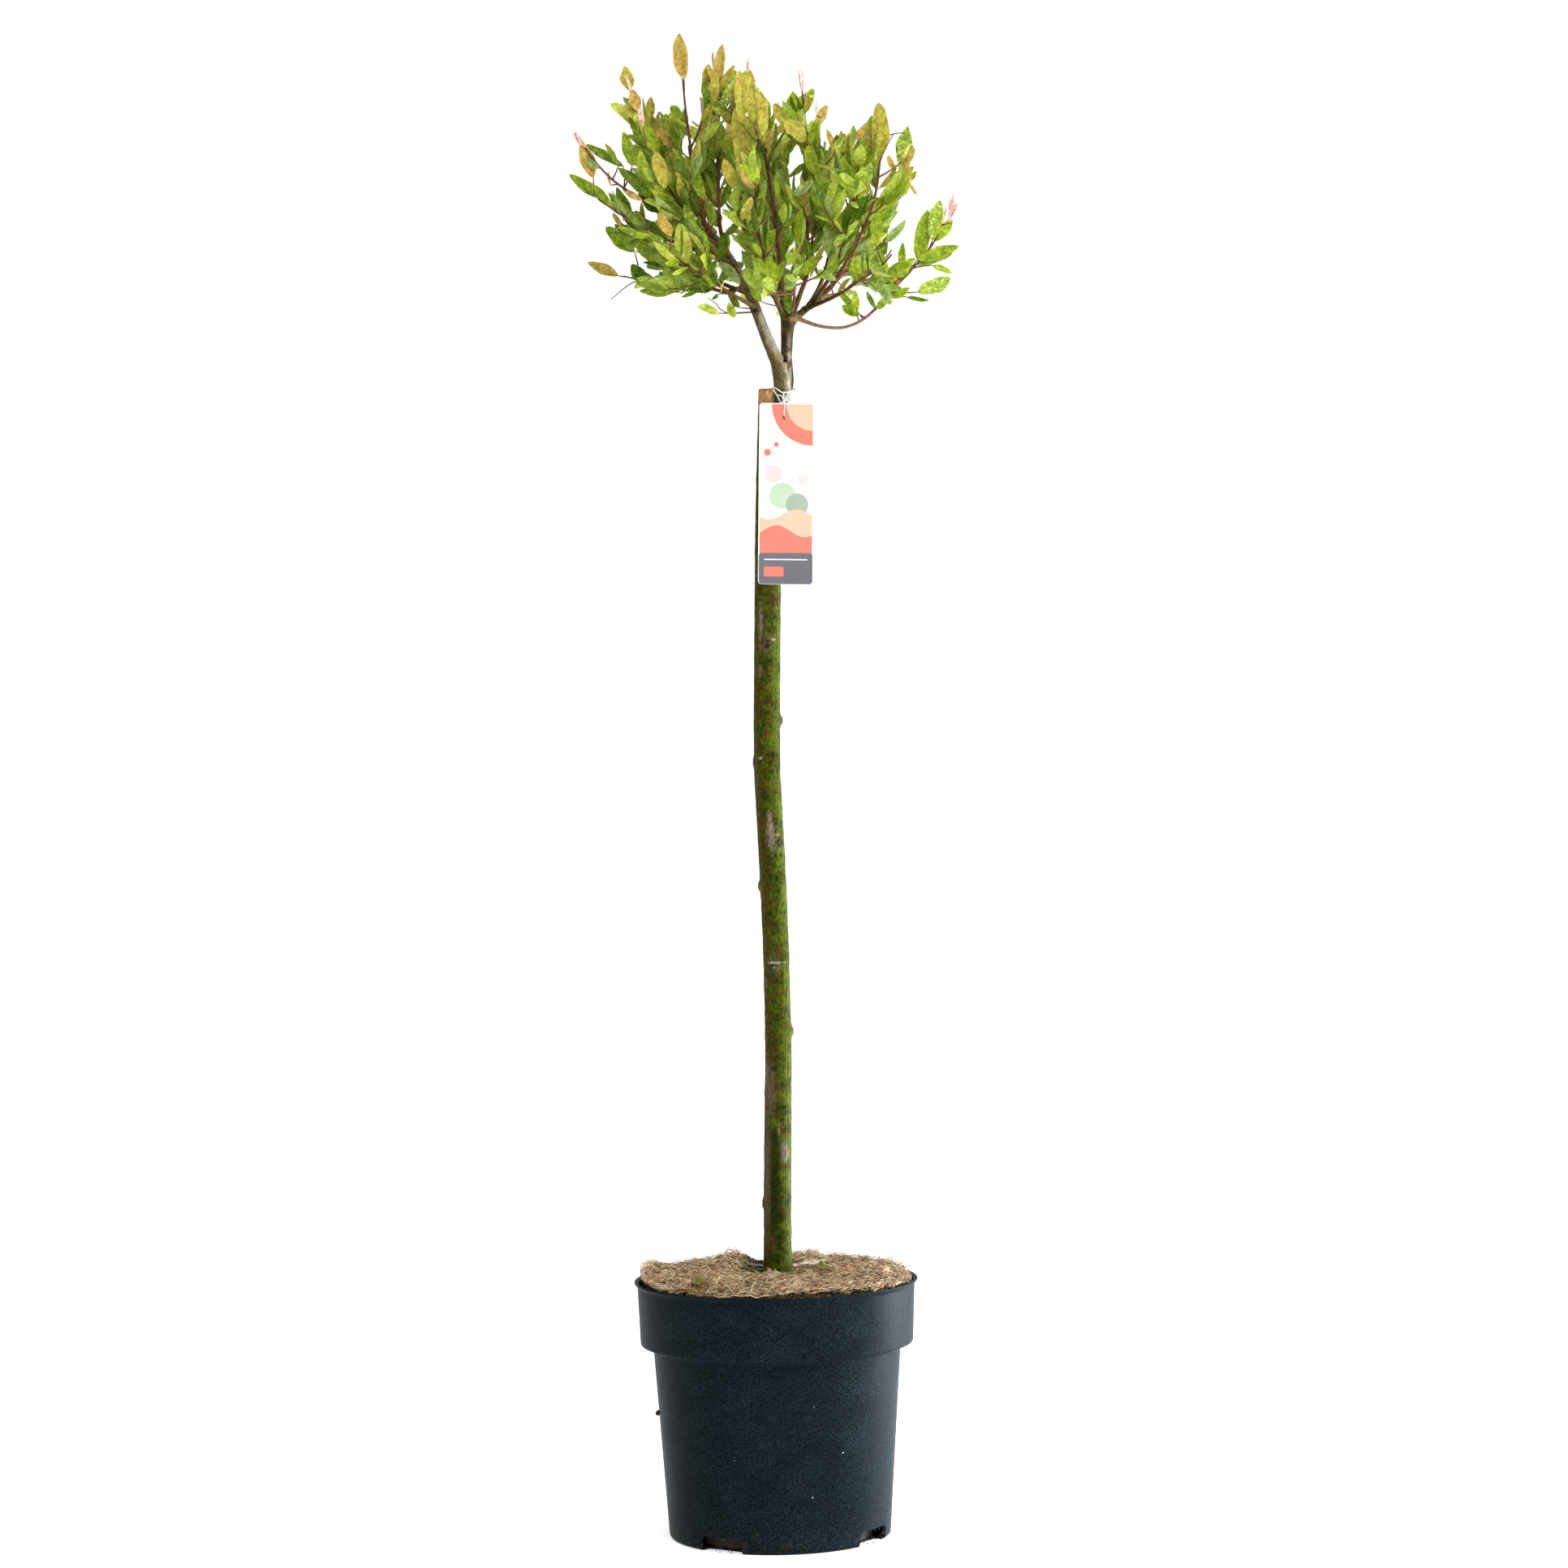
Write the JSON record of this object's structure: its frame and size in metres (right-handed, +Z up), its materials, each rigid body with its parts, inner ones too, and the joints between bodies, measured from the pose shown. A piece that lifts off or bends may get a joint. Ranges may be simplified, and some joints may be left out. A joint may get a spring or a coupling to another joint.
{
  "type": "dappled willow standard in a nursery pot",
  "caption": "Small standard tree with a straight green stem, a fan of leafy shoots with pink tips, and a round nursery pot with a coir mat.",
  "frame": {"origin": "centre of the pot's flat underside, which stands on the floor", "axes": "+Z up along the stem; +X to the right and +Y away from whoever faces the side that the label hangs on"},
  "size_m": [0.4093, 0.3696, 1.531],
  "materials": {
    "pot_plastic": "satin",
    "moist_mix": "matte",
    "coir": "matte",
    "green_bark": "satin",
    "grey_bark": "matte",
    "red_bark": "satin",
    "foliage": "satin",
    "label_plastic": "satin",
    "tie_plastic": "satin"
  },
  "bodies": {
    "root": {"pot": "pot_plastic", "potting_mix": "moist_mix", "coir_mat": "coir", "trunk": "green_bark", "scion": "grey_bark", "bough_left": "grey_bark", "bough_right": "grey_bark", "limb_arch_inner": "red_bark", "limb_arch_outer": "red_bark", "label_card": "label_plastic", "label_tie": "tie_plastic", "limb_left_tall": "red_bark", "limb_left_upright": "red_bark", "limb_left_top": "red_bark", "limb_left_outer": "red_bark", "limb_left_low": "red_bark", "limb_left_skirt": "red_bark", "limb_left_front": "red_bark", "limb_left_front_low": "red_bark", "limb_left_back": "red_bark", "limb_left_back_low": "red_bark", "limb_leader": "red_bark", "limb_front_centre": "red_bark", "limb_front_low": "red_bark", "limb_back_centre": "red_bark", "limb_back_low": "red_bark", "limb_top_right": "red_bark", "limb_right_inner": "red_bark", "limb_right_main": "red_bark", "limb_right_front": "red_bark", "limb_right_front_low": "red_bark", "limb_right_back": "red_bark", "limb_right_outer": "red_bark", "limb_right_back_low": "red_bark", "limb_far_right": "red_bark", "foliage_left_tall": "foliage", "foliage_left_upright": "foliage", "foliage_left_top": "foliage", "foliage_left_outer": "foliage", "foliage_left_low": "foliage", "foliage_left_skirt": "foliage", "foliage_left_front": "foliage", "foliage_left_front_low": "foliage", "foliage_left_back": "foliage", "foliage_left_back_low": "foliage", "foliage_leader": "foliage", "foliage_front_centre": "foliage", "foliage_front_low": "foliage", "foliage_back_centre": "foliage", "foliage_back_low": "foliage", "foliage_top_right": "foliage", "foliage_right_inner": "foliage", "foliage_right_main": "foliage", "foliage_right_front": "foliage", "foliage_right_front_low": "foliage", "foliage_right_back": "foliage", "foliage_right_outer": "foliage", "foliage_right_back_low": "foliage", "foliage_far_right": "foliage"}
  },
  "joints": []
}
